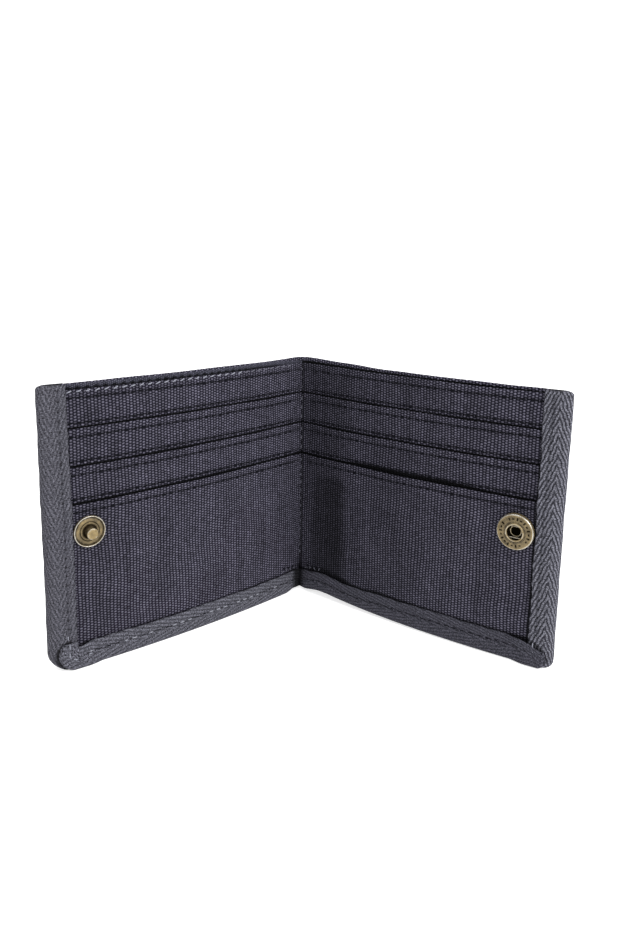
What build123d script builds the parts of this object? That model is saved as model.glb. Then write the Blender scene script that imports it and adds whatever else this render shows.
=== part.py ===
"""Bifold wallet: canvas panels bound in herringbone tape, with one press snap.

The wallet stands on its lower edge with its two leaves opened into a V. Its spine is at the back, the
leaves come forward to left and right, and the card pockets face the inside of the V. Millimetres, +Z up.
The origin is on the resting plane, under the middle of the whole wallet.

A leaf is a set of thin sheets that bend gently in plan. A point of a leaf is given by s, the distance
from the spine crease along the leaf, n, the distance in front of the lowest pocket's face (negative is
towards the outer shell), and z, the height.
"""

import os
from math import cos, degrees, radians, sin

from build123d import *

# Overall size of one leaf
LEAF_WIDTH = 103.4
LEAF_HEIGHT = 94.3

# Plan shape of a leaf: the angle between the leaf and the X axis, at the spine and at the outer edge
SPINE_ANGLE = 43.8
EDGE_ANGLE = 31.2
PLAN_RADIUS = LEAF_WIDTH / radians(SPINE_ANGLE - EDGE_ANGLE)
CREASE_Y = 27.78  # the spine crease, behind the origin, so that the whole wallet is centred on it

# Fold line: each leaf turns about a vertical line this far from the spine crease in X, just in front of
# every layer that crosses the spine
FOLD_OFFSET = 3.4
FOLD_N = 0.8
FOLD_CLEARANCE = 0.15

# Layers, as the n of their front and back faces
POCKET_3 = (0.0, -0.5)
POCKET_2 = (-1.0, -1.5)
POCKET_1 = (-1.7, -2.2)
DIVIDER = (-2.4, -2.9)
LINING = (-3.8, -4.2)
SHELL = (-4.25, -4.95)

# Heights of the folded top edges, and of the pockets' sewn bottoms
DIVIDER_TOP = 92.4
POCKET_1_TOP = 80.5
POCKET_2_TOP = 68.6
POCKET_3_TOP = 56.6
POCKET_1_BOTTOM = 25.0
POCKET_2_BOTTOM = 13.0
SHEET_BOTTOM = 0.8
SHEET_END = LEAF_WIDTH - 1.0

# Tape binding
TAPE = 0.7  # thickness
TAPE_GAP = 0.05  # clearance from what it covers
SIDE_TAPE_WIDTH = 8.2
BOTTOM_TAPE_WIDTH = 8.7
LAP_END = LEAF_WIDTH - 4.3  # where the bottom tape's turned end stops, on the side tape
CORNER_RADIUS = 4.0

# Stitching
STITCH_PITCH = 3.1
STITCH_LENGTH = 2.1
STITCH_WIDTH = 0.45
STITCH_RISE = 0.25
STITCH_LIFT = 0.02
UPPER_ROW_DROP = 2.6  # a pocket's first row, below its folded edge
LOWER_ROW_RISE = 1.5  # its second row, above the next pocket's edge
EDGE_ROW_DROP = 0.7  # the extra row along the left divider's fold
ROW_MARGIN = 1.8  # a row stops this far from the fold line and from the side tape
TAPE_ROW_INSET = 2.9  # a row through the tape, from the tape's inner edge

# Press snap
SNAP_S = 88.9
SNAP_Z = 46.2
STUD_RADIUS = 5.2
STUD_HEIGHT = 3.7
STUD_NECK_RADIUS = 1.6
STUD_HEAD_RADIUS = 1.85
STUD_HEAD_UNDERSIDE = 2.95
STUD_BORE_RADIUS = 1.2
STUD_BORE_DEPTH = 2.3
SOCKET_RADIUS = 6.15
SOCKET_HEIGHT = 2.7
SOCKET_HOLE_RADIUS = 2.5
SOCKET_FLOOR_HOLE = 1.9
CAVITY_RADIUS = 4.5
CAVITY_TOP = 2.1
FLOOR_TOP = 0.35
SPRING_WIRE_RADIUS = 0.22
SPRING_LEVEL = 1.87
SPRING_HALF_GAP = 1.97
SPRING_BEND_RADIUS = 4.1
SNAP_LIFT = 0.05
RIVET_CAP_RADIUS = 4.5
RIVET_CAP = (-0.55, -0.93)
STUD_RIVET_RADIUS = 1.12
SOCKET_RIVET_RADIUS = 1.8
SOCKET_RIVET_BORE = 1.3
SOCKET_RIVET_RIM = (2.05, 0.4, 0.55)  # the rolled rim's radius, underside and top
PANEL_HOLE_CLEARANCE = 0.1

LEFT, RIGHT = -1, 1


def plan_angle(s):
    """The leaf's angle from the X axis at distance s, in radians."""
    return radians(SPINE_ANGLE + (EDGE_ANGLE - SPINE_ANGLE) * s / LEAF_WIDTH)


def point(side, s, n, z):
    """The point of a leaf at s, n and z."""
    start = radians(SPINE_ANGLE)
    angle = plan_angle(s)
    x = PLAN_RADIUS * sin(start) - (PLAN_RADIUS + n) * sin(angle)
    y = PLAN_RADIUS * cos(start) - (PLAN_RADIUS + n) * cos(angle)
    return Vector(side * x, CREASE_Y + y, z)


def fold_distance():
    """The s of the fold line, which is FOLD_OFFSET from the crease in X at FOLD_N."""
    low, high = 0.0, 3 * FOLD_OFFSET
    for _ in range(50):
        middle = (low + high) / 2
        if point(RIGHT, middle, FOLD_N, 0).X < FOLD_OFFSET:
            low = middle
        else:
            high = middle
    return middle


FOLD_S = fold_distance()
SHEET_START = FOLD_S + FOLD_CLEARANCE


def sheet(side, s_range, n_range, z_range):
    """A closed solid between two distances, two layers' faces and two heights."""
    s1, s2 = s_range
    n1, n2 = n_range
    z = z_range[0]
    middle = (s1 + s2) / 2
    front = ThreePointArc(point(side, s1, n1, z), point(side, middle, n1, z), point(side, s2, n1, z))
    back = ThreePointArc(point(side, s2, n2, z), point(side, middle, n2, z), point(side, s1, n2, z))
    outline = Wire([front, Line(front @ 1, back @ 0), back, Line(back @ 1, front @ 0)])
    return extrude(Face(outline), amount=z_range[1] - z, dir=(0, 0, 1))


def panel(side, layer, z_range):
    """One canvas layer of a leaf, from the fold line to inside the side tape."""
    return sheet(side, (SHEET_START, SHEET_END), layer, z_range)


def snap_plane(side):
    """A plane on the lowest pocket's face at the snap, with Z out of the face."""
    angle = plan_angle(SNAP_S)
    along = Vector(side * cos(angle), -sin(angle), 0)
    outwards = Vector(-side * sin(angle), -cos(angle), 0)
    return Plane(origin=point(side, SNAP_S, 0, SNAP_Z), x_dir=along, z_dir=outwards)


def turned(side, profile):
    """A turned part on the snap's axis, from (radius, height) points."""
    outline = Polyline(*[(r, 0, h) for r, h in profile], close=True)
    solid = revolve(Face(Wire(outline.edges())), axis=Axis.Z, revolution_arc=360)
    return snap_plane(side).location * solid


def hole_through(side, radius):
    """A drill along the snap's axis that passes the front pocket panel only."""
    depth = 2 * abs(POCKET_3[1])
    return snap_plane(side).location * Cylinder(radius, depth, align=(Align.CENTER,) * 3)


def front_pocket(side, rivet_radius):
    """The lowest pocket's panel, with the hole that the snap's rivet passes through."""
    whole = panel(side, POCKET_3, (SHEET_BOTTOM, POCKET_3_TOP))
    return whole - hole_through(side, rivet_radius + PANEL_HOLE_CLEARANCE)


def corner_cut(side):
    """What is cut from a leaf's lower outer corner to round it."""
    reach = LEAF_WIDTH + TAPE
    angle = degrees(plan_angle(reach))
    block = Box(CORNER_RADIUS, 30, CORNER_RADIUS, align=(Align.MIN, Align.CENTER, Align.MIN))
    round_bar = Rot(90, 0, 0) * Cylinder(CORNER_RADIUS, 40)
    tool = block - Pos(0, 0, CORNER_RADIUS) * round_bar
    corner = point(side, reach - CORNER_RADIUS, 0, SHEET_BOTTOM)
    turn = -angle if side == RIGHT else 180 + angle
    return Pos(*corner) * Rot(0, 0, turn) * tool


def side_binding(side):
    """The tape folded round a leaf's outer edge: front and back flanges and the turn between them."""
    front = (POCKET_3[0] + TAPE_GAP + TAPE, POCKET_3[0] + TAPE_GAP)
    back = (SHELL[1] - TAPE_GAP, SHELL[1] - TAPE_GAP - TAPE)
    flange = (LEAF_WIDTH - SIDE_TAPE_WIDTH, LEAF_WIDTH)
    height = (SHEET_BOTTOM, LEAF_HEIGHT)
    turn = sheet(side, (LEAF_WIDTH - TAPE, LEAF_WIDTH), (front[0], back[1]), height)
    return sheet(side, flange, front, height) + sheet(side, flange, back, height) + turn - corner_cut(side)


def bottom_binding(side):
    """The tape folded round a leaf's lower edge. Its turned end steps up over the side tape."""
    low = (POCKET_3[0] + TAPE_GAP, SHELL[1] - TAPE_GAP)
    high = (low[0] + TAPE + TAPE_GAP, low[1] - TAPE - TAPE_GAP)
    step = LEAF_WIDTH - SIDE_TAPE_WIDTH - TAPE_GAP
    height = (0, BOTTOM_TAPE_WIDTH)
    along = (SHEET_START, step)
    lap = (step - TAPE, LAP_END)
    whole = sheet(side, (SHEET_START, LAP_END), (low[0] + TAPE, low[1] - TAPE), (0, TAPE))
    whole += sheet(side, along, (low[0] + TAPE, low[0]), height)
    whole += sheet(side, along, (low[1], low[1] - TAPE), height)
    whole += sheet(side, lap, (high[0] + TAPE, high[0]), height)
    whole += sheet(side, lap, (high[1], high[1] - TAPE), height)
    whole += sheet(side, (step - TAPE, step), (high[0], low[0]), height)
    whole += sheet(side, (step - TAPE, step), (low[1], high[1]), height)
    return whole


def stitch_at(side, s, n, z, upright=False):
    """One raised stitch on the surface n, lying along the leaf or standing upright."""
    angle = degrees(plan_angle(s))
    middle = n + STITCH_LIFT + STITCH_RISE / 2
    size = (STITCH_WIDTH, STITCH_RISE, STITCH_LENGTH) if upright else (STITCH_LENGTH, STITCH_RISE, STITCH_WIDTH)
    return Pos(*point(side, s, middle, z)) * Rot(0, 0, -side * angle) * Box(*size)


def steps(first, last):
    """Evenly spaced positions from first to last, about one stitch pitch apart."""
    count = round((last - first) / STITCH_PITCH)
    return [first + (last - first) * i / count for i in range(count + 1)]


def pocket_stitching(side):
    """The rows along the divider's and the pockets' turned edges."""
    first = SHEET_START + ROW_MARGIN
    last = LEAF_WIDTH - SIDE_TAPE_WIDTH - ROW_MARGIN
    tops = [DIVIDER_TOP, POCKET_1_TOP, POCKET_2_TOP, POCKET_3_TOP]
    faces = [DIVIDER[0], POCKET_1[0], POCKET_2[0], POCKET_3[0]]
    rows = [(top - UPPER_ROW_DROP, face) for top, face in zip(tops, faces)]
    rows += [(top + LOWER_ROW_RISE, face) for top, face in zip(tops[1:], faces)]
    if side == LEFT:
        rows.append((DIVIDER_TOP - EDGE_ROW_DROP, DIVIDER[0]))
    return Compound([stitch_at(side, s, face, z) for z, face in rows for s in steps(first, last)])


def binding_stitching(side):
    """The rows through the side tape and through the bottom tape."""
    face = POCKET_3[0] + TAPE_GAP + TAPE
    upright_s = LEAF_WIDTH - SIDE_TAPE_WIDTH + TAPE_ROW_INSET
    level_z = BOTTOM_TAPE_WIDTH - TAPE_ROW_INSET
    low, high = BOTTOM_TAPE_WIDTH + ROW_MARGIN, LEAF_HEIGHT - ROW_MARGIN
    last = LEAF_WIDTH - SIDE_TAPE_WIDTH - ROW_MARGIN - TAPE
    made = [stitch_at(side, upright_s, face, z, upright=True) for z in steps(low, high)]
    made += [stitch_at(side, s, face, level_z) for s in steps(SHEET_START + ROW_MARGIN, last)]
    return Compound(made)


def corner_tack(side):
    """The tacking stitches that hold the bottom tape's turned end down on the side tape."""
    face = POCKET_3[0] + 2 * (TAPE_GAP + TAPE)
    first = LEAF_WIDTH - SIDE_TAPE_WIDTH + STITCH_WIDTH
    made = [stitch_at(side, s, face, BOTTOM_TAPE_WIDTH - 1.5) for s in (first + 1.0, first + 3.3)]
    made += [stitch_at(side, LAP_END - 0.8, face, z, upright=True) for z in (2.0, 4.4)]
    return Compound(made)


def spine_sheet(layer, z_range):
    """The short length of a layer across the spine, creased down its middle, between the fold lines."""
    limit = FOLD_OFFSET - FOLD_CLEARANCE
    slope = sin(radians(SPINE_ANGLE)) / cos(radians(SPINE_ANGLE))
    front, back = [CREASE_Y - n / cos(radians(SPINE_ANGLE)) for n in layer]
    outline = Polyline(
        (0, front), (limit, front - limit * slope), (limit, back - limit * slope),
        (0, back), (-limit, back - limit * slope), (-limit, front - limit * slope), close=True,
    )
    z, top = z_range
    return extrude(Pos(0, 0, z) * Face(Wire(outline.edges())), amount=top - z, dir=(0, 0, 1))


def spine_binding():
    """The bottom tape's short length across the spine."""
    front = POCKET_3[0] + TAPE_GAP
    back = SHELL[1] - TAPE_GAP
    whole = spine_sheet((front + TAPE, back - TAPE), (0, TAPE))
    whole += spine_sheet((front + TAPE, front), (0, BOTTOM_TAPE_WIDTH))
    whole += spine_sheet((back, back - TAPE), (0, BOTTOM_TAPE_WIDTH))
    return whole


def spine_stitching():
    """The upright row down the crease, on each layer where that layer is the front one."""
    reach = STITCH_RISE / 2 + STITCH_LIFT + STITCH_WIDTH
    spans = [
        (POCKET_3[0], BOTTOM_TAPE_WIDTH + ROW_MARGIN, POCKET_3_TOP),
        (POCKET_2[0], POCKET_3_TOP, POCKET_2_TOP),
        (POCKET_1[0], POCKET_2_TOP, POCKET_1_TOP),
        (DIVIDER[0], POCKET_1_TOP, DIVIDER_TOP),
    ]
    made = []
    for face, low, high in spans:
        y = CREASE_Y - face / cos(radians(SPINE_ANGLE)) - reach
        for z in steps(low + ROW_MARGIN, high - ROW_MARGIN):
            made.append(Pos(0, y, z) * Box(STITCH_WIDTH, STITCH_RISE, STITCH_LENGTH))
    return Compound(made)


def snap_stud():
    """The stud: a stepped round base with a raised rim, and a necked post with a flat head."""
    r, neck, head = STUD_RADIUS, STUD_NECK_RADIUS, STUD_HEAD_RADIUS
    return turned(LEFT, [
        (STUD_BORE_RADIUS, SNAP_LIFT), (r - 0.3, SNAP_LIFT), (r, 0.3), (r, 0.8), (r - 0.1, 0.97),
        (r - 0.25, 1.02), (r - 0.42, 0.92), (r - 0.6, 0.5), (r - 0.9, 0.58), (r - 1.7, 0.74), (r - 1.95, 0.5),
        (r - 2.2, 0.78), (r - 2.7, 0.74), (neck + 0.5, 0.44), (neck + 0.15, 0.5),
        (neck, 0.8), (neck, STUD_HEAD_UNDERSIDE - 0.25), (head - 0.1, STUD_HEAD_UNDERSIDE),
        (head, STUD_HEAD_UNDERSIDE + 0.2), (head, STUD_HEIGHT - 0.25), (head - 0.08, STUD_HEIGHT - 0.08),
        (head - 0.28, STUD_HEIGHT), (0, STUD_HEIGHT), (0, STUD_BORE_DEPTH), (STUD_BORE_RADIUS, STUD_BORE_DEPTH),
    ])


def stud_rivet():
    """The stud's rivet: a thin cap behind the panel, and a shank up the stud's bore."""
    r, shank = RIVET_CAP_RADIUS, STUD_RIVET_RADIUS
    front, back = RIVET_CAP
    return turned(LEFT, [
        (0, back), (r - 0.3, back), (r, (front + back) / 2), (r - 0.1, front), (shank, front),
        (shank, STUD_BORE_DEPTH - 0.2), (shank - 0.2, STUD_BORE_DEPTH - 0.05), (0, STUD_BORE_DEPTH - 0.05),
    ])


def snap_socket():
    """The socket: a flat-topped ring with a rolled rim round its mouth, hollow inside for the spring."""
    r, hole, top = SOCKET_RADIUS, SOCKET_HOLE_RADIUS, SOCKET_HEIGHT
    return turned(RIGHT, [
        (SOCKET_FLOOR_HOLE, SNAP_LIFT), (r - 0.25, SNAP_LIFT), (r, 0.3), (r, 1.4), (r - 0.06, 1.7),
        (r - 0.22, 1.92), (r - 0.45, 2.05), (r - 0.75, 2.12), (r - 1.7, 2.25), (r - 2.6, 2.32),
        (hole + 0.64, 2.36), (hole + 0.6, 2.52), (hole + 0.48, 2.65), (hole + 0.32, top),
        (hole + 0.15, 2.64), (hole + 0.03, 2.5), (hole, 2.3), (hole, CAVITY_TOP), (CAVITY_RADIUS - 0.3, CAVITY_TOP),
        (CAVITY_RADIUS, CAVITY_TOP - 0.4), (CAVITY_RADIUS, FLOOR_TOP), (SOCKET_FLOOR_HOLE, FLOOR_TOP),
    ])


def wire_along(edge):
    """A length of the spring's wire along an edge, with a rounded end at each of its ends."""
    section = Plane(origin=edge @ 0, z_dir=edge % 0) * Circle(SPRING_WIRE_RADIUS)
    return sweep(section, path=edge) + Pos(*(edge @ 0)) * Sphere(SPRING_WIRE_RADIUS) + (
        Pos(*(edge @ 1)) * Sphere(SPRING_WIRE_RADIUS)
    )


def socket_spring():
    """The spring wire in the socket: two straight bars that grip the stud's neck, joined by one bend."""
    gap, bend = SPRING_HALF_GAP, SPRING_BEND_RADIUS
    half = (bend**2 - gap**2) ** 0.5
    tail_middle, tail_end = radians(180 + 18), radians(180 + 9)
    wire = wire_along(Line((-half, gap), (half, gap)))
    wire += wire_along(Line((-half, -gap), (half, -gap)))
    wire += wire_along(ThreePointArc((half, gap), (bend, 0), (half, -gap)))
    wire += wire_along(ThreePointArc(
        (-half, -gap),
        (bend * cos(tail_middle), bend * sin(tail_middle)),
        (bend * cos(tail_end), bend * sin(tail_end)),
    ))
    return snap_plane(RIGHT).location * (Pos(0, 0, SPRING_LEVEL) * wire)


def socket_rivet():
    """The socket's rivet: a thin cap behind the panel, and a tube rolled over inside the socket."""
    r, tube, bore = RIVET_CAP_RADIUS, SOCKET_RIVET_RADIUS, SOCKET_RIVET_BORE
    rim, rim_low, rim_top = SOCKET_RIVET_RIM
    front, back = RIVET_CAP
    return turned(RIGHT, [
        (0, back), (r - 0.3, back), (r, (front + back) / 2), (r - 0.1, front), (tube, front), (tube, rim_low),
        (rim - 0.08, rim_low), (rim, (rim_low + rim_top) / 2), (rim - 0.1, rim_top), (bore + 0.1, rim_top),
        (bore, rim_top - 0.1), (bore, front + 0.1), (0, front + 0.1),
    ])


def make_parts():
    """Every node of the wallet, by name."""
    low, top = SHEET_BOTTOM, LEAF_HEIGHT
    made = {
        "shell_spine": spine_sheet(SHELL, (low, top)),
        "lining_spine": spine_sheet(LINING, (low, top - 0.5)),
        "divider_spine": spine_sheet(DIVIDER, (low, DIVIDER_TOP)),
        "pocket_1_spine": spine_sheet(POCKET_1, (POCKET_1_BOTTOM, POCKET_1_TOP)),
        "pocket_2_spine": spine_sheet(POCKET_2, (POCKET_2_BOTTOM, POCKET_2_TOP)),
        "pocket_3_spine": spine_sheet(POCKET_3, (low, POCKET_3_TOP)),
        "bottom_binding_spine": spine_binding(),
        "stitching_spine": spine_stitching(),
    }
    for name, side, rivet in (("left", LEFT, STUD_RIVET_RADIUS), ("right", RIGHT, SOCKET_RIVET_RADIUS)):
        made["shell_" + name] = panel(side, SHELL, (low, top))
        made["lining_" + name] = panel(side, LINING, (low, top - 0.5))
        made["divider_" + name] = panel(side, DIVIDER, (low, DIVIDER_TOP))
        made["pocket_1_" + name] = panel(side, POCKET_1, (POCKET_1_BOTTOM, POCKET_1_TOP))
        made["pocket_2_" + name] = panel(side, POCKET_2, (POCKET_2_BOTTOM, POCKET_2_TOP))
        made["pocket_3_" + name] = front_pocket(side, rivet)
        made["side_binding_" + name] = side_binding(side)
        made["bottom_binding_" + name] = bottom_binding(side)
        made["pocket_stitching_" + name] = pocket_stitching(side)
        made["binding_stitching_" + name] = binding_stitching(side)
        made["corner_tack_" + name] = corner_tack(side)
    made["snap_stud"] = snap_stud()
    made["stud_rivet"] = stud_rivet()
    made["snap_socket"] = snap_socket()
    made["socket_spring"] = socket_spring()
    made["socket_rivet"] = socket_rivet()
    return made


os.makedirs("parts", exist_ok=True)
for node, solid in make_parts().items():
    export_step(solid, f"parts/{node}.step")
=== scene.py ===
"""Looks of the bifold wallet: canvas panels, herringbone tape, thread, an antique brass snap and the studio.

Everything is in metres in the CAD's own frame. A leaf's point is given, as in the CAD, by s (distance from
the spine crease along the leaf), n (distance in front of the lowest pocket's face) and z, in millimetres.
"""

import math
import random

import bpy
import numpy as np
from mathutils import Matrix, Vector

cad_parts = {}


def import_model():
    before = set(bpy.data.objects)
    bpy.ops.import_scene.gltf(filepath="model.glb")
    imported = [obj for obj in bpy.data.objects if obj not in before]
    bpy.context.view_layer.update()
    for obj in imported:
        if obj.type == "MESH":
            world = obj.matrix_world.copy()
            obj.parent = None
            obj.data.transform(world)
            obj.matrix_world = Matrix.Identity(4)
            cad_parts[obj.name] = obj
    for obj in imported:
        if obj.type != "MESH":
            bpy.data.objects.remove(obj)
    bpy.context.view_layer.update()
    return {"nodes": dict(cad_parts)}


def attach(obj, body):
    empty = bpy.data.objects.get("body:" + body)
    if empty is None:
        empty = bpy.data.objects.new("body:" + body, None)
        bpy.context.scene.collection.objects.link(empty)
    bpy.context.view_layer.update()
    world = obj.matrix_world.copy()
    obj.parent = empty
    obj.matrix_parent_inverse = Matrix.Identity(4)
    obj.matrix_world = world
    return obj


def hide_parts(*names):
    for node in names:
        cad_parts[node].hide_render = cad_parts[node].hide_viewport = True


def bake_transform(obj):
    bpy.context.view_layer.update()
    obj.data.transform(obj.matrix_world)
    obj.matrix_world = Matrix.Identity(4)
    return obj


MM = 0.001
LEFT, RIGHT = -1, 1
SIDE_NAME = {LEFT: "left", RIGHT: "right"}

# Leaf shape, as in the CAD
LEAF_WIDTH = 103.4
LEAF_HEIGHT = 94.3
SPINE_ANGLE = math.radians(43.8)
EDGE_ANGLE = math.radians(31.2)
PLAN_RADIUS = LEAF_WIDTH / (SPINE_ANGLE - EDGE_ANGLE)
CREASE_Y = 27.78

# Layers, as the n of their front faces, and their thickness
SHEET = 0.5
LAYER_N = {
    "pocket_3": 0.0, "pocket_2": -1.0, "pocket_1": -1.7, "divider": -2.4, "lining": -3.8, "shell": -4.25,
}
THICKNESS = {"lining": 0.4, "shell": 0.7}
FRONT_ORDER = ["divider", "pocket_1", "pocket_2", "pocket_3"]

# Heights at the spine, and how much higher each level stands at the leaf's outer edge
TOP_Z = {"pocket_3": 56.7, "pocket_2": 68.8, "pocket_1": 80.6, "divider": 92.4, "lining": 93.1, "shell": 94.4}
EDGE_RISE = {
    LEFT: ((0, 20, 56.7, 68.8, 80.6, 92.4), (0, 0, -1.3, -1.3, -0.7, 0)),
    RIGHT: ((0, 20, 56.7, 68.8, 80.6, 92.4), (0, 0, 0.4, 0.2, 0, 0.2)),
}
BOTTOM_Z = {"pocket_3": 1.2, "pocket_2": 13.0, "pocket_1": 25.0, "divider": 1.2, "lining": 1.2, "shell": 1.2}
PANEL_END = LEAF_WIDTH - 1.4
EDGE_FADE = 12.0  # how far down a panel's uneven top edge is felt
LIFT_FADE = 25.0  # how far up the lift of a lower edge is felt

# On the left the lining stands up behind the divider, and above this height it is painted lighter: a painted
# highlight where it catches the light
LINING_RISE = {LEFT: 0.8, RIGHT: 0.0}
LINING_PAINTED_LIGHT_START = 91.8
LINING_PAINTED_LIGHT = 4.0

# Tape: its thickness and flat width, the gap under it, and where it lies on a leaf
TAPE = 0.7
TAPE_GAP = 0.05
SIDE_TAPE_INNER = {LEFT: 94.8, RIGHT: 95.15}
SIDE_TAPE_OUTER = 103.55
SIDE_TAPE_TOP = 94.35
CORNER_RADIUS = {LEFT: 7.0, RIGHT: 2.4}
LAP_END = 101.6

# Stitches
STITCH_PITCH = 3.1
STITCH_LENGTH = 1.9
UPPER_ROW_DROP = 2.6
LOWER_ROW_RISE = 1.5
EDGE_ROW_DROP = 0.5
SIDE_ROW_INSET = 2.6
BOTTOM_ROW_DROP = 3.3
ROW_START = 5.0
ROW_END_GAP = 1.3
SEAM_FOOT = 13.5
HOLE_WIDTH = 0.42

# Snap: the stud sits further out and higher than the socket, by less than the play in the mouth
SNAP_S = {LEFT: 89.45, RIGHT: 88.95}
SNAP_Z = {LEFT: 46.3, RIGHT: 46.05}

# Camera, fitted to the object's edges: millimetres, the shift in sensor widths, turns in radians
SENSOR_WIDTH = 36.0
CAMERA_LENS = 44.582
CAMERA_SHIFT = -0.14677
CAMERA_FROM_CREASE = (2.99, -293.4, 140.0)
CAMERA_PITCH = 0.174
CAMERA_ROLL = 0.0164
CAMERA_YAW = 0.047


# ---- leaf geometry


def crease_s(n):
    """The s at which the layer at n meets the crease plane x = 0."""
    angle = np.arcsin(PLAN_RADIUS * math.sin(SPINE_ANGLE) / (PLAN_RADIUS + n))
    return (SPINE_ANGLE - angle) / (SPINE_ANGLE - EDGE_ANGLE) * LEAF_WIDTH


def leaf_xy(s, n):
    """Right-hand leaf: plan position of the point at s and n."""
    angle = SPINE_ANGLE + (EDGE_ANGLE - SPINE_ANGLE) * s / LEAF_WIDTH
    x = PLAN_RADIUS * math.sin(SPINE_ANGLE) - (PLAN_RADIUS + n) * np.sin(angle)
    y = PLAN_RADIUS * math.cos(SPINE_ANGLE) - (PLAN_RADIUS + n) * np.cos(angle)
    return x, CREASE_Y + y


def leaf_point(side, s, n, z, soften=0.0, shift=True):
    """World points in metres. soften is how far from the crease the sharp fold is rounded off."""
    s, n, z = np.broadcast_arrays(np.asarray(s, float), np.asarray(n, float), np.asarray(z, float))
    if shift:
        z = z + height_shift(side, s, z)
    x, y = leaf_xy(s, n)
    if soften > 0:
        start = crease_s(n)
        xt, yt = leaf_xy(start + soften, n)
        apex = leaf_xy(start, n)[1]
        v = 0.5 + 0.5 * np.clip((s - start) / soften, 0, 1)
        near = (s - start) < soften
        y = np.where(near, (1 - 2 * v * (1 - v)) * yt + 2 * v * (1 - v) * apex, y)
        x = np.where(near, (2 * v - 1) * xt, x)
    return np.stack([side * x, y, z], -1) * MM


def smooth(edge0, edge1, x):
    """Smoothstep from 0 at edge0 to 1 at edge1."""
    t = np.clip((np.asarray(x, float) - edge0) / (edge1 - edge0), 0, 1)
    return t * t * (3 - 2 * t)


def hump(distance, width):
    """1 at no distance, falling away to both sides over about this width."""
    return np.exp(-((distance / width) ** 2))


def ripple(s, z, seed, amplitude, lengths=(38, 23, 14)):
    """A gentle, repeatable unevenness of cloth, in millimetres."""
    rng = random.Random(seed)
    total = 0.0
    for i, length in enumerate(lengths):
        turn = rng.uniform(0, math.pi)
        phase = rng.uniform(0, 2 * math.pi)
        wave = (np.cos(turn) * s + np.sin(turn) * z) * 2 * math.pi / length + phase
        total = total + np.sin(wave) / (i + 1.5)
    return amplitude * total


def height_shift(side, s, z):
    """How much higher than at the spine a level of the cloth stands at distance s."""
    levels, rises = EDGE_RISE[side]
    sag = 0.75 * smooth(3, 40, s) * smooth(92.6, 93.4, z) if side == RIGHT else 0.0
    return np.interp(z, levels, rises) * s / LEAF_WIDTH - sag


def bottom_lift(side, s):
    """How far the lower edge is drawn up from the ground towards the spine."""
    if side == LEFT:
        return 0.1 + 0.9 * hump(s - 4.5, 2.2)
    return 0.1 + 1.9 * smooth(-1, 12, s) * math.exp(-max(s - 15, 0) / 27)


def spine_tuck(s):
    """How far cloth and tape are pushed back where they fold at the foot of the spine."""
    return 1.7 * hump(s, 2.7)


def bottom_tape_top(side, s):
    """Height of the bottom tape's upper edge. Its lapped end stands up on the left and sinks on the right."""
    s = np.asarray(s, float)
    edge = SIDE_TAPE_INNER[side]
    broad = 8.4 + {LEFT: 0.0, RIGHT: 0.8}[side] * smooth(0, 18, s) - 0.9 * hump(s, 3.0)
    dip = {LEFT: 0.7, RIGHT: 0.3}[side] * hump(s - edge + 0.8, 2.0)
    if side == LEFT:
        return broad - dip + 1.5 * smooth(edge, edge + 2.4, s)
    wave = 0.9 * hump(s - 12, 6) - 0.7 * hump(s - 29, 8)
    return broad - dip + wave - 2.9 * np.clip((s - edge + 0.6) / (LAP_END - edge), 0, 1) ** 1.5


def lap_end(side, z):
    """Where the bottom tape's turned end stops at height z."""
    rounding = {LEFT: 0.012 * max(z - 4.5, 0) ** 3.2, RIGHT: 0.13 * max(z - 3.2, 0) ** 2}
    return LAP_END - rounding[side] - corner_inset(side, z) * 0.8


def corner_inset(side, z):
    """How far the rounded lower corner draws the leaf's outline in at height z."""
    radius = CORNER_RADIUS[side]
    below = np.clip(radius - z, 0, radius)
    return radius - np.sqrt(radius**2 - below**2)


# ---- mesh helpers


def make_object(name, points, faces, uvs=None, materials=(), face_slots=None, smooth_shade=True, shades=None):
    """A mesh with cloth coordinates in millimetres and, if given, a painted shade at each point, painting
    light where it is below zero.
    """
    mesh = bpy.data.meshes.new(name)
    mesh.from_pydata([tuple(p) for p in points], [], faces)
    if uvs is not None:
        layer = mesh.uv_layers.new(name="cloth")
        loop_points = np.zeros(len(mesh.loops), np.int32)
        mesh.loops.foreach_get("vertex_index", loop_points)
        layer.data.foreach_set("uv", np.asarray(uvs, np.float32)[loop_points].ravel())
    if shades is not None:
        shade = mesh.attributes.new("shade", "FLOAT", "POINT")
        shade.data.foreach_set("value", np.asarray(shades, np.float32))
    for material in materials:
        mesh.materials.append(material)
    if face_slots is not None:
        mesh.polygons.foreach_set("material_index", np.asarray(face_slots, np.int32))
    mesh.polygons.foreach_set("use_smooth", [smooth_shade] * len(mesh.polygons))
    mesh.update()
    obj = bpy.data.objects.new(name, mesh)
    bpy.context.scene.collection.objects.link(obj)
    return obj


def loft_closed(kind, side, sections, material):
    """A solid through closed sections, each (points, cloth coordinates, painted shade), with both ends
    capped.
    """
    rows, count = len(sections), len(sections[0][0])
    points, uvs, shades = (np.concatenate(part) for part in zip(*sections))
    flip = side == LEFT
    faces = []
    for i in range(rows - 1):
        for j in range(count):
            k = (j + 1) % count
            face = (i * count + j, (i + 1) * count + j, (i + 1) * count + k, i * count + k)
            faces.append(face[::-1] if flip else face)
    first, last = list(range(count)), [(rows - 1) * count + j for j in range(count)]
    faces.append(first[::-1] if flip else first)
    faces.append(last if flip else last[::-1])
    obj = make_object(f"{kind}_{SIDE_NAME[side]}", points, faces, uvs, [material], shades=shades)
    for cap in (-2, -1):
        obj.data.polygons[len(faces) + cap].use_smooth = False
    return obj


def path_length(points):
    """Running length along a polyline of 2-D points."""
    steps = np.hypot(*np.diff(points, axis=0).T)
    return np.concatenate([[0], np.cumsum(steps)])


# ---- materials


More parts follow.
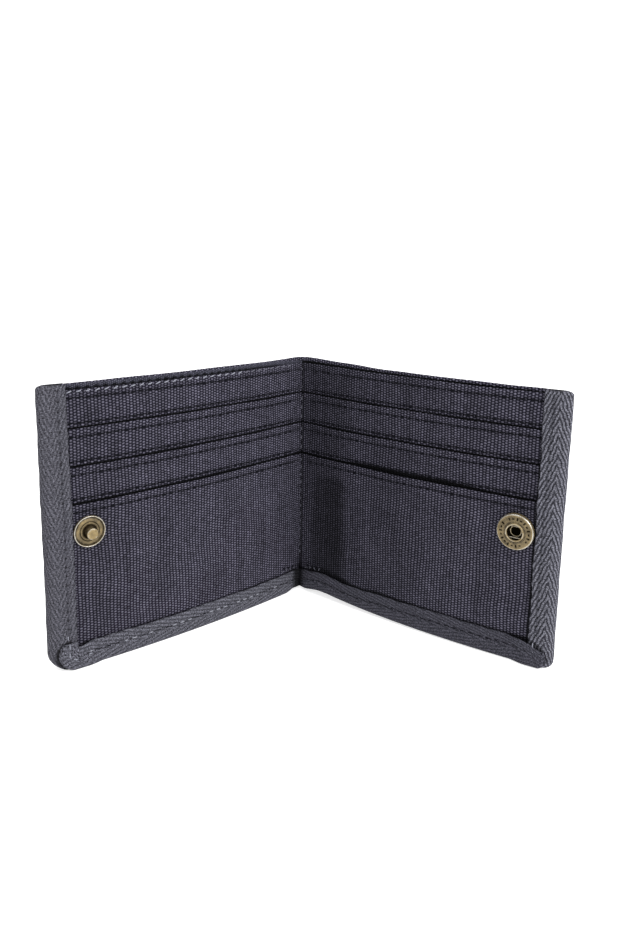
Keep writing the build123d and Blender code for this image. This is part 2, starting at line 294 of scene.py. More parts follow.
class Nodes:
    """Writes shader node trees as sums and products."""

    def __init__(self, name):
        self.material = bpy.data.materials.new(name)
        self.material.use_nodes = True
        self.tree = self.material.node_tree
        self.tree.nodes.clear()
        self.output = self.tree.nodes.new("ShaderNodeOutputMaterial")

    def node(self, kind, **settings):
        made = self.tree.nodes.new(kind)
        for key, value in settings.items():
            setattr(made, key, value)
        return made

    def put(self, socket, value):
        if isinstance(value, bpy.types.NodeSocket):
            self.tree.links.new(value, socket)
        else:
            socket.default_value = value

    def math(self, operation, a, b=0.0, c=0.0, clamp=False):
        made = self.node("ShaderNodeMath", operation=operation, use_clamp=clamp)
        for socket, value in zip(made.inputs, (a, b, c)):
            self.put(socket, value)
        return made.outputs[0]

    def add(self, a, b):
        return self.math("ADD", a, b)

    def sub(self, a, b):
        return self.math("SUBTRACT", a, b)

    def mul(self, a, b):
        return self.math("MULTIPLY", a, b)

    def uv(self):
        made = self.node("ShaderNodeUVMap", uv_map="cloth")
        split = self.node("ShaderNodeSeparateXYZ")
        self.put(split.inputs[0], made.outputs[0])
        return split.outputs[0], split.outputs[1]

    def vector(self, x, y, z=0.0):
        made = self.node("ShaderNodeCombineXYZ")
        for socket, value in zip(made.inputs, (x, y, z)):
            self.put(socket, value)
        return made.outputs[0]

    def noise(self, vector, scale, detail=2.0, rough=0.5):
        made = self.node("ShaderNodeTexNoise")
        self.put(made.inputs["Vector"], vector)
        self.put(made.inputs["Scale"], scale)
        self.put(made.inputs["Detail"], detail)
        self.put(made.inputs["Roughness"], rough)
        return made.outputs[0]

    def remap(self, value, low, high, to_low=0.0, to_high=1.0):
        made = self.node("ShaderNodeMapRange", clamp=True)
        for socket, item in zip(made.inputs, (value, low, high, to_low, to_high)):
            self.put(socket, item)
        return made.outputs[0]

    def mix(self, factor, a, b):
        made = self.node("ShaderNodeMix", data_type="RGBA")
        self.put(made.inputs[0], factor)
        self.put(made.inputs[6], (*a, 1) if isinstance(a, tuple) else a)
        self.put(made.inputs[7], (*b, 1) if isinstance(b, tuple) else b)
        return made.outputs[2]

    def scale_colour(self, colour, factor):
        made = self.node("ShaderNodeVectorMath", operation="SCALE")
        self.put(made.inputs[0], colour)
        self.put(made.inputs[3], factor)
        return made.outputs[0]

    def lit_share(self):
        """What is left of the colour under the painted shade marked on the mesh; more than all of it where
        light is painted.
        """
        made = self.node("ShaderNodeAttribute", attribute_name="shade")
        return self.sub(1.0, made.outputs["Fac"])

    def object_coords(self):
        return self.node("ShaderNodeTexCoord").outputs["Object"]

    def bump(self, height, distance):
        made = self.node("ShaderNodeBump")
        self.put(made.inputs["Height"], height)
        self.put(made.inputs["Distance"], distance)
        return made.outputs[0]

    def finish(self, colour, roughness, normal=None, metallic=0.0, **extra):
        shader = self.node("ShaderNodeBsdfPrincipled")
        self.put(shader.inputs["Base Color"], (*colour, 1) if isinstance(colour, tuple) else colour)
        self.put(shader.inputs["Roughness"], roughness)
        self.put(shader.inputs["Metallic"], metallic)
        for key, value in extra.items():
            self.put(shader.inputs[key.replace("_", " ")], value)
        if normal is not None:
            self.put(shader.inputs["Normal"], normal)
        self.tree.links.new(shader.outputs[0], self.output.inputs[0])
        return self.material


def canvas_material(name, dark, light, warp_pitch=1.17, dot_period=0.925):
    """Plain weave: columns of raised warp floats, with neighbouring columns half a period apart."""
    m = Nodes(name)
    u, v = m.uv()
    flat = m.vector(u, v)
    wander = m.sub(m.noise(flat, 0.05, 1.0), 0.5)
    jitter = m.sub(m.noise(flat, 0.9, 1.0), 0.5)
    across = m.add(m.mul(u, 1 / warp_pitch), m.add(m.mul(wander, 1.6), m.mul(jitter, 0.3)))
    along = m.add(m.mul(v, 1 / dot_period), m.add(m.mul(wander, 2.0), m.mul(jitter, -0.35)))
    column = m.math("FLOOR", across)
    odd = m.math("PINGPONG", column, 1.0)
    shifted = m.add(along, m.mul(odd, 0.5))
    fx = m.sub(m.math("FRACT", across), 0.5)
    fy = m.sub(m.math("FRACT", shifted), 0.5)
    row = m.math("FLOOR", shifted)
    ridge = m.math("COSINE", m.mul(fx, math.pi))
    crown = m.math("COSINE", m.mul(fy, math.pi))
    warp = m.mul(m.math("POWER", ridge, 0.8), m.math("POWER", crown, 1.1))
    weft_fy = m.math("ABSOLUTE", fy)
    weft = m.mul(m.remap(weft_fy, 0.2, 0.5), m.math("POWER", ridge, 0.6))
    yarn = m.noise(m.vector(m.mul(column, 7.31), m.mul(row, 3.17)), 1.0, 0.0)
    warp_yarn = m.noise(m.vector(m.mul(column, 5.7), m.mul(v, 0.02)), 1.0, 0.0)
    cloud = m.noise(flat, 0.06, 3.0)
    tone = m.add(m.remap(yarn, 0.25, 0.75, 0.72, 1.28), m.remap(warp_yarn, 0.3, 0.7, -0.12, 0.12))
    tone = m.mul(tone, m.remap(cloud, 0.3, 0.7, 0.86, 1.14))
    lit = m.math("POWER", m.math("MAXIMUM", warp, 0.0), 1.9)
    colour = m.scale_colour(m.mix(lit, dark, light), m.mul(tone, m.lit_share()))
    height = m.add(warp, m.mul(weft, 0.25))
    fuzz = m.noise(flat, 6.0, 2.0)
    normal = m.bump(m.add(height, m.mul(fuzz, 0.15)), 0.22 * MM)
    return m.finish(colour, 0.9, normal, Specular_IOR_Level=0.08)


def herringbone_material(name, dark, light, steep, grain_share, apex_u=5.8, rib_rise=3.05, crisp=1.6):
    """Herringbone twill: slanting ribs of grainy yarn that turn back at regular lines along the tape."""
    m = Nodes(name)
    u, v = m.uv()
    flat = m.vector(u, v)
    wander = m.sub(m.noise(flat, 0.22, 2.0), 0.5)
    jitter = m.sub(m.noise(flat, 1.1, 1.0), 0.5)
    half = 6.2
    turned = m.math("PINGPONG", m.add(m.sub(u, apex_u), 8 * half), half)
    t = m.mul(m.add(v, m.mul(turned, steep)), 1 / rib_rise)
    t = m.add(t, m.add(m.mul(wander, 0.45), m.mul(jitter, 0.42)))
    fract = m.sub(m.math("FRACT", t), 0.5)
    rib = m.math("POWER", m.math("COSINE", m.mul(fract, math.pi)), crisp)
    strands = m.math("SINE", m.mul(m.sub(v, m.mul(turned, 1 / steep)), 2 * math.pi / 0.8))
    grain = m.noise(flat, 2.3, 2.0, 0.6)
    mottled = m.noise(flat, 0.35, 2.0)
    lit = m.mul(rib, m.add(0.88, m.mul(strands, 0.12)))
    grained = m.remap(grain, 0.3, 0.7, 1 - grain_share, 1 + grain_share)
    tone = m.mul(m.mul(grained, m.remap(mottled, 0.3, 0.7, 0.9, 1.1)), m.lit_share())
    colour = m.scale_colour(m.mix(lit, dark, light), tone)
    normal = m.bump(m.add(lit, m.mul(grain, 0.6)), 0.22 * MM)
    return m.finish(colour, 0.92, normal, Specular_IOR_Level=0.08)


def thread_material(name, colour):
    """Two-ply sewing thread, twisted."""
    m = Nodes(name)
    u, v = m.uv()
    twist = m.math("SINE", m.add(m.mul(u, 2 * math.pi / 0.55), m.mul(v, 2 * math.pi)))
    made = m.scale_colour(colour, m.add(1.0, m.mul(twist, 0.22)))
    return m.finish(made, 0.85, m.bump(twist, 0.05 * MM), Specular_IOR_Level=0.06)


def brass_material(name):
    """Antique brass: brown patina in the hollows, metal worn bright and pale on what stands proud."""
    m = Nodes(name)
    v = m.uv()[1]
    coords = m.object_coords()
    mottled = m.noise(coords, 1100.0, 4.0, 0.6)
    coarse = m.noise(coords, 350.0, 2.0)
    wear = m.add(v, m.add(m.mul(m.sub(mottled, 0.5), 1.1), m.mul(m.sub(coarse, 0.5), 0.9)))
    bright = m.remap(wear, 0.0, 0.95)
    hollow = m.remap(wear, -0.7, 0.0)
    dull = m.mix(hollow, (0.003, 0.002, 0.001), (0.03, 0.022, 0.011))
    brass = m.mix(coarse, (0.13, 0.095, 0.04), (0.30, 0.225, 0.11))
    metal = m.mix(m.remap(wear, 1.0, 1.6), brass, (0.42, 0.40, 0.35))
    colour = m.mix(bright, dull, metal)
    rough = m.remap(bright, 0.0, 1.0, 0.6, 0.42)
    normal = m.bump(m.add(mottled, m.mul(coarse, 0.5)), 0.04 * MM)
    shine = m.remap(wear, -0.3, 0.5, 0.0, 0.5)
    metallic = m.remap(wear, 0.0, 1.0, 0.0, 0.85)
    return m.finish(colour, rough, normal, metallic, Specular_IOR_Level=shine)


def wire_material(name):
    """Drawn spring wire, slightly tarnished."""
    m = Nodes(name)
    coords = m.object_coords()
    streak = m.noise(coords, 1500.0, 3.0)
    colour = m.mix(streak, (0.16, 0.135, 0.10), (0.30, 0.27, 0.22))
    return m.finish(colour, 0.4, m.bump(streak, 0.01 * MM), metallic=0.9)


def floor_material():
    """Plain pale studio sweep."""
    m = Nodes("studio_floor")
    grain = m.noise(m.object_coords(), 40.0, 2.0)
    colour = m.mix(grain, (0.69, 0.69, 0.69), (0.71, 0.71, 0.71))
    return m.finish(colour, 0.9, Specular_IOR_Level=0.1, Emission_Color=(1, 1, 1, 1), Emission_Strength=0.65)


# ---- cloth panels


def panel_grid():
    """Distances along a leaf as fractions, closer together near the crease."""
    near = np.linspace(0, 0.12, 30, endpoint=False)
    far = np.linspace(0.12, 1, 176)
    return np.concatenate([near, far])


def steps(first, last, pitch=STITCH_PITCH):
    """Evenly spaced positions from first to last, about one pitch apart."""
    count = round((last - first) / pitch)
    return [first + (last - first) * i / count for i in range(count + 1)]


def stitch_rows(layer):
    """Heights of the stitch rows that show on a layer."""
    if layer not in FRONT_ORDER:
        return []
    rows = [TOP_Z[layer] - UPPER_ROW_DROP]
    place = FRONT_ORDER.index(layer)
    if place < 3:
        rows.append(TOP_Z[FRONT_ORDER[place + 1]] + LOWER_ROW_RISE)
    return rows


def row_span(side):
    """Where a leaf's rows start and stop."""
    return ROW_START, SIDE_TAPE_INNER[side] - ROW_END_GAP


def needle_hole(position, span):
    """1 at the needle holes between the stitches of a row, 0 along the stitches."""
    first, last = span
    pitch = (last - first) / round((last - first) / STITCH_PITCH)
    phase = (position - first) / pitch
    from_gap = (0.5 - np.abs(phase - np.round(phase))) * pitch
    inside = smooth(first - 2.2, first - 1.6, position) * smooth(last + 2.2, last + 1.6, position)
    return hump(from_gap, HOLE_WIDTH) * inside


def layer_relief(layer, side, s, z):
    """How the front face of a layer rises and falls: its folded edge, stitch rows, seam and ripples."""
    relief = ripple(s, z, f"{layer}{side}", 0.10)
    if layer not in FRONT_ORDER:
        return relief
    top = TOP_Z[layer]
    flare = {"divider": 0.10, "pocket_1": 0.22, "pocket_2": 0.26, "pocket_3": 0.36}[layer]
    span = math.sin(math.pi * min(max(s / SIDE_TAPE_INNER[side], 0.0), 1.0)) ** 0.5
    relief = relief + flare * smooth(top - 6, top, z) * span
    relief = relief + 0.12 * hump(z - top + 1.1, 0.9)
    depth = 0.16 + 0.22 * needle_hole(s, row_span(side))
    for row in stitch_rows(layer):
        relief = relief - depth * hump(z - row, 0.5)
    if side == LEFT:
        relief = relief + 0.4 * hump(s - crease_s(LAYER_N[layer]) - 1.4, 0.7)
    if layer == "pocket_3":
        relief = relief - 0.5 * valley(side, s, z)
        away = np.hypot(s - SNAP_S[side], z + height_shift(side, s, z) - SNAP_Z[side])
        relief = relief - 0.55 * (1 - smooth(2.2, 5.0, away)) - 0.25 * hump(away - 5.8, 1.2)
    return relief


def valley(side, s, z):
    """1 in the hollow that the right pocket's cloth makes beside the spine, 0 away from it."""
    if side == LEFT:
        return np.zeros(np.shape(z))
    return smooth(0.5, 9, s) * (1 - smooth(19, 26, s)) * (1 - smooth(47, 55, z))


def panel_shade(layer, side, s, z):
    """Painted shade on a layer: deep in a slot, in the stitch rows and needle holes, along the crease, beside
    the spine and beside the tapes; below zero it paints light on the shell's top fold and the left lining's
    top.
    """
    if layer == "lining":
        # On the right, painted shade for the dark gap behind the divider's top.
        if side == RIGHT:
            return np.full(z.shape, 0.75)
        # On the left, painted shadow scallops under the divider's stitched edge, with a painted highlight
        # above them.
        scallop = 0.5 + 0.5 * math.cos(2 * math.pi * (s - ROW_START - 0.5 * STITCH_PITCH) / STITCH_PITCH)
        edge = LINING_PAINTED_LIGHT_START + 0.6 * scallop * smooth(15, 35, s)
        return 0.6 - (0.6 + LINING_PAINTED_LIGHT) * smooth(edge - 0.3, edge + 0.3, z)
    if layer == "shell":
        # Painted highlight on the shell's top fold.
        return -0.45 * smooth(TOP_Z[layer] - 1.5, TOP_Z[layer] - 0.9, z)
    # Painted shade along the crease; on the left darker towards the outer edge, on the right darker away from
    # the light and beside the spine.
    from_crease = s - crease_s(LAYER_N[layer])
    if side == LEFT:
        crease_shadow = 0.35 * hump(from_crease, 0.4)
        broad = 0.1 * smooth(50, 90, s)
    else:
        crease_shadow = 0.85 * hump(from_crease - 0.7, 0.5)
        away_from_light = 0.15 * (1 - smooth(45, 75, s))
        spine_shade = 0.33 * smooth(0.5, 4, s) * (1 - smooth(18, 30, s))
        broad = max(away_from_light, spine_shade)
    dark = np.full(z.shape, max(crease_shadow, broad))
    place = FRONT_ORDER.index(layer)
    if place < 3:
        # Painted shadow in the slot above the next layer's edge.
        edge = TOP_Z[FRONT_ORDER[place + 1]]
        slot_shadow_reach = 0.8
        if side == RIGHT and layer == "pocket_2":
            slot_shadow_reach += 0.7 * smooth(18, 32, s) * (1 - smooth(62, 85, s))
        dark = np.maximum(dark, 0.95 * (1 - smooth(edge + slot_shadow_reach - 0.45, edge + slot_shadow_reach, z)))
    else:
        # Painted shade in the hollow beside the spine.
        deep = 0.6 + 0.1 * hump(s - 17, 4)
        dark = np.maximum(dark, deep * valley(side, s, z))
    # Painted shade along the stitch rows, darkest in the needle holes.
    hole = needle_hole(s, row_span(side))
    for row in stitch_rows(layer):
        dark = np.maximum(dark, (0.42 + 0.42 * hole) * hump(z - row, 0.45))
    # Painted shadow beside the side tape's inner edge.
    beside = SIDE_TAPE_INNER[side]
    reach = {LEFT: 0.7, RIGHT: 1.3}[side]
    dark = np.maximum(dark, 0.85 * smooth(beside - reach, beside - 0.2, s))
    if layer == "pocket_3":
        # Painted shadow above the bottom tape's upper edge.
        tape_top = bottom_tape_top(side, s)
        dark = np.maximum(dark, 0.85 * (1 - smooth(tape_top + 0.15, tape_top + 0.7, z)))
    return dark


def front_n(z):
    """The n of the foremost cloth at a height, which the side tape lies on."""
    n = np.full(np.shape(z), LAYER_N["divider"], float)
    for behind, layer in zip(FRONT_ORDER, FRONT_ORDER[1:]):
        share = 1 - smooth(TOP_Z[layer] - 1.0, TOP_Z[layer] + 2.5, z)
        n = n + (LAYER_N[layer] - LAYER_N[behind]) * share
    return n


def pushed_back(n, s, z):
    """Cloth near the foot of the spine is pushed back into the fold."""
    low = 1 - smooth(7.5, 15.0, z)
    return n - spine_tuck(s) * low * smooth(-2.5, 0.0, n)


def cloth_panel(layer, side, material, soften):
    """One canvas layer of a leaf: front face, folded top edge, back face, in one closed sheet."""
    n0 = LAYER_N[layer]
    thick = THICKNESS.get(layer, SHEET)
    radius = thick / 2
    top, low = TOP_Z[layer], BOTTOM_Z[layer]
    plain = np.linspace(low, top - radius, 64)
    offsets = (-1.0, -0.6, -0.3, 0, 0.3, 0.6, 1.0)
    lines = stitch_rows(layer) + [TOP_Z[name] + 0.4 for name in FRONT_ORDER if TOP_Z[name] < top]
    dense = [line + d for line in lines for d in offsets if low < line + d < top - radius]
    front_z = np.unique(np.round(np.concatenate([plain, dense]), 3))
    turn = np.linspace(0, math.pi, 7)[1:-1]
    back_z = np.linspace(top - radius, low, 24)
    sections = []
    for fraction in panel_grid():
        s_front = crease_s(n0) * (1 - fraction) + PANEL_END * fraction
        tuck = 1.2 * smooth(SIDE_TAPE_INNER[side] - 0.5, SIDE_TAPE_INNER[side] + 2, s_front)
        lift = bottom_lift(side, s_front)
        relief = layer_relief(layer, side, s_front, front_z)
        back_relief = np.minimum(layer_relief(layer, side, s_front, back_z), 0.3)
        turned = n0 + relief[-1] - radius + radius * np.cos(turn)
        n = np.concatenate([n0 + relief, turned, n0 - thick + back_relief])
        z = np.concatenate([front_z, top - radius + radius * np.sin(turn), back_z])
        v = path_length(np.stack([n, z], 1))
        # Painted shade, and painted light on the shell and lining tops, on the front face and fold; none on
        # the back.
        front_shade = panel_shade(layer, side, s_front, front_z)
        dark = np.concatenate([front_shade, np.full(len(turn), front_shade[-1]), np.zeros(len(back_z))])
        n = pushed_back(n, s_front, z)
        z = z - tuck * smooth(top - EDGE_FADE, top, z)
        if layer == "lining":
            z = z + LINING_RISE[side] * smooth(1, 12, s_front) * smooth(top - 6, top, z)
        z = z + lift * (1 - smooth(0, LIFT_FADE, z))
        z = z + 0.12 * ripple(s_front, 0, f"edge{layer}{side}", 1.0) * smooth(top - EDGE_FADE, top, z)
        s = crease_s(n) * (1 - fraction) + (PANEL_END - corner_inset(side, z)) * fraction
        uv = np.stack([np.full(len(v), fraction * (PANEL_END - crease_s(n0)) * side), v + low], 1)
        sections.append((leaf_point(side, s, n, z, soften), uv, dark))
    return loft_closed(f"{layer}_cloth", side, sections, material)


# ---- tape


def side_row(side):
    """The s of the stitch row down the side tape, and the heights it runs between."""
    return SIDE_TAPE_INNER[side] + SIDE_ROW_INSET, (13.0, LEAF_HEIGHT - 3.2)


def tape_pillow(side, s, z):
    """How the side tape's face swells between its edges and sinks at its stitches."""
    share = np.clip((s - SIDE_TAPE_INNER[side]) / (SIDE_TAPE_OUTER - SIDE_TAPE_INNER[side]), 0, 1)
    row, span = side_row(side)
    depth = 0.04 + 0.22 * needle_hole(z, span)
    return 0.16 * np.sin(math.pi * share) - 0.3 * share**3 - depth * hump(s - row, 0.55)


def side_tape(side, material):
    """The tape folded round a leaf's outer edge, lying on the cloth in front and behind."""
    foot, head = 12, 91.5
    heights = np.concatenate([
        np.linspace(0, foot, 40, endpoint=False),
        np.linspace(foot, head, 150, endpoint=False),
        np.linspace(head, SIDE_TAPE_TOP, 14),
    ])
    row, span = side_row(side)
    sections = []
    for z in heights:
        front = front_n(z) + TAPE_GAP
        back = LAYER_N["shell"] - THICKNESS["shell"] - TAPE_GAP
        middle = (front + back) / 2
        half = (front - back) / 2 + TAPE
        close = (0.75 + 0.25 * smooth(0, 1.0, z)) * (1 - 0.22 * smooth(93.2, SIDE_TAPE_TOP, z))
        scallop = 0.12 * math.cos(2 * math.pi * z / STITCH_PITCH)
        uneven = {LEFT: 0.22, RIGHT: 0.36}[side]
        lean = {LEFT: 0.0, RIGHT: -0.7}[side] * (2 * z / LEAF_HEIGHT - 1)
        wander = ripple(0, z, f"tape{side}", uneven, (31, 9, 5))
        inner_s = SIDE_TAPE_INNER[side] + wander + scallop + lean
        top_round = 1.5 - math.sqrt(2.25 - max(z - SIDE_TAPE_TOP + 1.5, 0.0) ** 2)
        outer_s = SIDE_TAPE_OUTER + ripple(0, z, f"outer{side}", 0.12, (27, 11, 6))
        outer_s -= corner_inset(side, z) + top_round
        reach = min(2.3, 0.35 * (outer_s - inner_s))
        face_s = np.linspace(inner_s + 0.25, outer_s - reach, 18)
        face = half * close + tape_pillow(side, face_s, z)
        turn = np.linspace(math.pi / 2, -math.pi / 2, 11)[1:-1]
        end_half = face[-1] - 0.03
        under, edge = (front - middle) * close + 0.05, half * close - 0.25
        outer = [(inner_s, middle + under), (inner_s - 0.02, middle + edge)]
        outer += [(a, middle + b) for a, b in zip(face_s, face)]
        outer += [(outer_s - reach + reach * math.cos(a), middle + end_half * math.sin(a)) for a in turn]
        outer += [(a, middle - b) for a, b in zip(face_s[::-1], face[::-1])]
        outer += [(inner_s - 0.02, middle - edge), (inner_s, middle - under)]
        thin = max((half - TAPE) * close, 0.05)
        fold = outer_s - 1.3 * reach
        inner = [(fold, middle - thin), (outer_s - 0.5 * reach, middle), (fold, middle + thin)]
        profile = np.array(outer + inner)
        place, n = profile[:, 0], profile[:, 1]
        # Painted shadow round the bottom tape's lapped end, and painted shade in the needle holes.
        lap_top = bottom_tape_top(side, place)
        end = lap_end(side, z)
        lap_shadow = smooth(end + 0.75, end + 0.25, place) * smooth(lap_top + 0.9, lap_top + 0.3, z)
        if side == RIGHT:
            lap_shadow = lap_shadow * 0.75 * smooth(1.0, 4.0, z)
        holes = needle_hole(z, span) * hump(place - row, 0.45)
        dark = np.maximum(0.85 * lap_shadow, 0.95 * holes) * (n > middle)
        uv = np.stack([path_length(profile), np.full(len(n), z)], 1)
        sections.append((leaf_point(side, place, n, z), uv, dark))
    return loft_closed("side_tape", side, sections, material)


def bottom_tape(side, material):
    """The tape folded round a leaf's lower edge, its end lapped over the side tape."""
    fractions = np.concatenate([
        np.linspace(0, 0.12, 30, endpoint=False),
        np.linspace(0.12, 0.88, 120, endpoint=False),
        np.linspace(0.88, 1, 44),
    ])
    foot, face_points = 0.8, 16
    inner_edge = SIDE_TAPE_INNER[side]
    sections = []
    for fraction in fractions:
        s = crease_s(TAPE + TAPE_GAP) * (1 - fraction) + LAP_END * fraction
        over = {LEFT: 0.85, RIGHT: 1.15}[side] * smooth(inner_edge - 5.0, inner_edge + 0.5, s)
        front = TAPE_GAP + over
        back = LAYER_N["shell"] - THICKNESS["shell"] - TAPE_GAP - over
        middle = (front + back) / 2
        lift = bottom_lift(side, s)
        top = bottom_tape_top(side, s) - lift + ripple(s, 0, f"btape{side}", 0.2, (34, 12, 6))
        end_close = 1 - 0.45 * smooth(1.1, 0.0, LAP_END - s)
        half = ((front - back) / 2 + TAPE) * end_close
        down = np.linspace(0, 1, face_points)
        zs = (top - 0.2) * (1 - down) + foot * down
        pinch = hump(s, 4.0)
        face = half + 0.24 * np.sin(math.pi * down) ** 0.8 + 0.3 * pinch * np.sin(6 * down)
        depth = 0.08 + 0.12 * needle_hole(s, row_span(side))
        face = face - depth * hump(zs - top + BOTTOM_ROW_DROP, 0.55)
        turn = np.linspace(0, math.pi / 2, 6)[1:]
        flat = half - foot
        rim = [(0.05, top - 0.02), (0.5 * TAPE, top + 0.04), (0.85 * TAPE, top - 0.04)]
        outer = [(front + out, z) for out, z in rim]
        outer += [(middle + f, z) for f, z in zip(face, zs)]
        outer += [(middle + flat + foot * math.cos(a), foot - foot * math.sin(a)) for a in turn]
        outer += [(middle, 0.0)]
        outer += [(middle - flat - foot * math.cos(a), foot - foot * math.sin(a)) for a in turn[::-1]]
        outer += [(middle - f, z) for f, z in zip(face[::-1], zs[::-1])]
        outer += [(back - out, z) for out, z in rim[::-1]]
        inner = [(back, 2.0), (back + 0.6, 0.9), (front - 0.6, 0.9), (front, 2.0)]
        profile = np.array(outer + inner)
        n, z = profile[:, 0], profile[:, 1]
        ends = np.array([lap_end(side, height) for height in z])
        n = n - spine_tuck(s) * smooth(-2.5, 0.0, n)
        place = crease_s(n) * (1 - fraction) + ends * fraction
        # Painted shade in the needle holes, and painted shadow on the tape turned under at the foot of the
        # spine.
        holes = needle_hole(s, row_span(side)) * hump(z - top + BOTTOM_ROW_DROP, 0.4)
        strength, near, far = {LEFT: (0.85, 2.8, 5.6), RIGHT: (0.8, 1.2, 3.4)}[side]
        folded = strength * (1 - smooth(near, far, s))
        dark = np.maximum(folded, 0.9 * holes * (profile[:, 0] > middle))
        uv = np.stack([path_length(profile), np.full(len(n), s * side)], 1)
        sections.append((leaf_point(side, place, n, z + lift, soften=1.6), uv, dark))
    return loft_closed("bottom_tape", side, sections, material)


# ---- thread


def stitch_mesh(stitches):
    """Joined meshes of short thread lengths. Each stitch is (centre, along, out, length, radius)."""
    rings, ribs = 9, 8
    points, faces, uvs = [], [], []
    for centre, along, out, length, radius in stitches:
        centre, along, out = Vector(centre), Vector(along).normalized(), Vector(out).normalized()
        across = along.cross(out)
        base = len(points)
        for i in range(rings):
            t = i / (rings - 1) * 2 - 1
            body = radius * math.sqrt(max(1 - abs(t) ** 3.2, 0.02))
            sink = -1.1 * radius * abs(t) ** 2.5
            middle = centre + along * (t * length / 2) + out * sink
            for j in range(ribs):
                a = 2 * math.pi * j / ribs
                points.append(middle + across * (body * math.cos(a)) + out * (body * 0.8 * math.sin(a)))
                uvs.append((t * length / 2 / MM, j / ribs))
        for i in range(rings - 1):
            for j in range(ribs):
                k = (j + 1) % ribs
                faces.append((base + i * ribs + j, base + i * ribs + k,
                              base + (i + 1) * ribs + k, base + (i + 1) * ribs + j))
        faces.append([base + j for j in range(ribs)][::-1])
        faces.append([base + (rings - 1) * ribs + j for j in range(ribs)])
    return points, faces, uvs


def stitch_frame(side, s, n, z, upright):
    """Centre, direction and outward normal of a stitch on a leaf."""
    d = 0.2
    here = Vector(leaf_point(side, s, n, z))
    ahead = Vector(leaf_point(side, s + d, n, z))
    out = Vector(leaf_point(side, s, n + d, z)) - Vector(leaf_point(side, s, n, z))
    along = Vector((0, 0, 1)) if upright else ahead - here
    return here, along.normalized(), out


def add_stitches(name, groups):
    """One object from groups of stitches, each group with its own thread."""
    points, faces, uvs, slots = [], [], [], []
    for index, (stitches, _) in enumerate(groups):
        more_points, more_faces, more_uvs = stitch_mesh(stitches)
        base = len(points)
        points += more_points
        faces += [tuple(base + i for i in face) for face in more_faces]
        uvs += more_uvs
        slots += [index] * len(more_faces)
    return make_object(name, points, faces, uvs, [material for _, material in groups], slots)


def panel_stitch(layer, side, s, z, rng, radius=0.3, slant=0.0, length=STITCH_LENGTH):
    """One stitch lying on a panel."""
    relief = layer_relief(layer, side, s, np.array([z]))[0]
    n = pushed_back(LAYER_N[layer] + relief + 0.14, s, z)
    lifted = z + bottom_lift(side, s) * (1 - smooth(0, LIFT_FADE, z))
    here, along, out = stitch_frame(side, s, n, lifted, False)
    tilt = Vector((0, 0, slant + rng.uniform(-0.12, 0.12)))
    return here, along + tilt, out, length * rng.uniform(0.88, 1.05) * MM, radius * MM


def pocket_stitches(side, mats):
    """The rows on one leaf's divider and pockets, and the gathered stitches at the spine's foot."""
    rng = random.Random(f"pocket{side}")
    made = []
    for layer in FRONT_ORDER:
        for row in stitch_rows(layer):
            for s in steps(*row_span(side)):
                made.append(panel_stitch(layer, side, s, row + rng.uniform(-0.1, 0.1), rng))
    gathered = []
    for number in range(9):
        s = 0.7 + 1.15 * number
        z = bottom_tape_top(side, s) - bottom_lift(side, s) + 1.5 + 0.8 * (number % 2)
        slant = rng.uniform(0.5, 1.6) * (1 if number % 3 else -1)
        stitch = panel_stitch("pocket_3", side, s, z, rng, 0.34 if number % 2 else 0.2, slant, 1.5)
        (made if number % 2 else gathered).append(stitch)
    groups = [(made, mats["thread"]), (gathered, mats["seam_thread"])]
    if side == LEFT:
        z = TOP_Z["divider"] - EDGE_ROW_DROP
        spots = steps(*row_span(side))
        for near, far, material in ((0, 27, "seam_thread"), (27, LEAF_WIDTH, "tack_thread")):
            edge = [panel_stitch("divider", side, s, z, rng, 0.22, -0.3) for s in spots if near <= s < far]
            groups.append((edge, mats[material]))
    return add_stitches(f"pocket_thread_{SIDE_NAME[side]}", groups)


def binding_stitches(side, mats):
    """The rows through the side tape and the bottom tape of one leaf."""
    rng = random.Random(f"binding{side}")
    upright, level, worn = [], [], []
    row, span = side_row(side)
    for z in steps(*span):
        face = front_n(z) + TAPE_GAP + TAPE + tape_pillow(side, row, z) + 0.1
        here, along, out = stitch_frame(side, row + rng.uniform(-0.1, 0.1), face, z, True)
        upright.append((here, along, out, STITCH_LENGTH * rng.uniform(0.85, 1.0) * MM, 0.17 * MM))
    for s in steps(*row_span(side)):
        z = bottom_tape_top(side, s) - BOTTOM_ROW_DROP + rng.uniform(-0.12, 0.12)
        face = pushed_back(TAPE + TAPE_GAP + 0.26, s, 0.0)
        here, along, out = stitch_frame(side, s, face, z, False)
        pale = side == LEFT and rng.random() < 0.55
        (worn if pale else level).append((here, along, out, 1.7 * rng.uniform(0.7, 1.1) * MM, 0.19 * MM))
    groups = [(upright, mats["tape_thread"]), (level, mats["thread"])]
    if worn:
        groups.append((worn, mats["pale_thread"]))
    return add_stitches(f"binding_thread_{SIDE_NAME[side]}", groups)


def corner_stitches(side, mats):
    """The pale tacking stitches at a lower corner."""
    face = 2 * (TAPE + TAPE_GAP) + 0.45
    places = {
        LEFT: (
            (97.6, 9.0, True), (97.7, 6.0, True), (95.8, 4.2, False), (93.2, 4.4, False), (90.8, 4.3, False),
        ),
        RIGHT: ((97.2, 8.2, True), (97.4, 5.9, True)),
    }
    made = []
    for s, z, upright in places[side]:
        level = face if s > SIDE_TAPE_INNER[side] else TAPE + TAPE_GAP + 0.3
        here, along, out = stitch_frame(side, s, level, z, upright)
        made.append((here, along + Vector((0, 0, 0.25)), out, 1.7 * MM, 0.2 * MM))
    if side == LEFT:
        here, along, out = stitch_frame(side, side_row(side)[0] + 0.4, TAPE + TAPE_GAP + 0.2, 11.6, True)
        made.append((here, along, out, 1.6 * MM, 0.2 * MM))
    return add_stitches(f"corner_thread_{SIDE_NAME[side]}", [(made, mats["tack_thread"])])


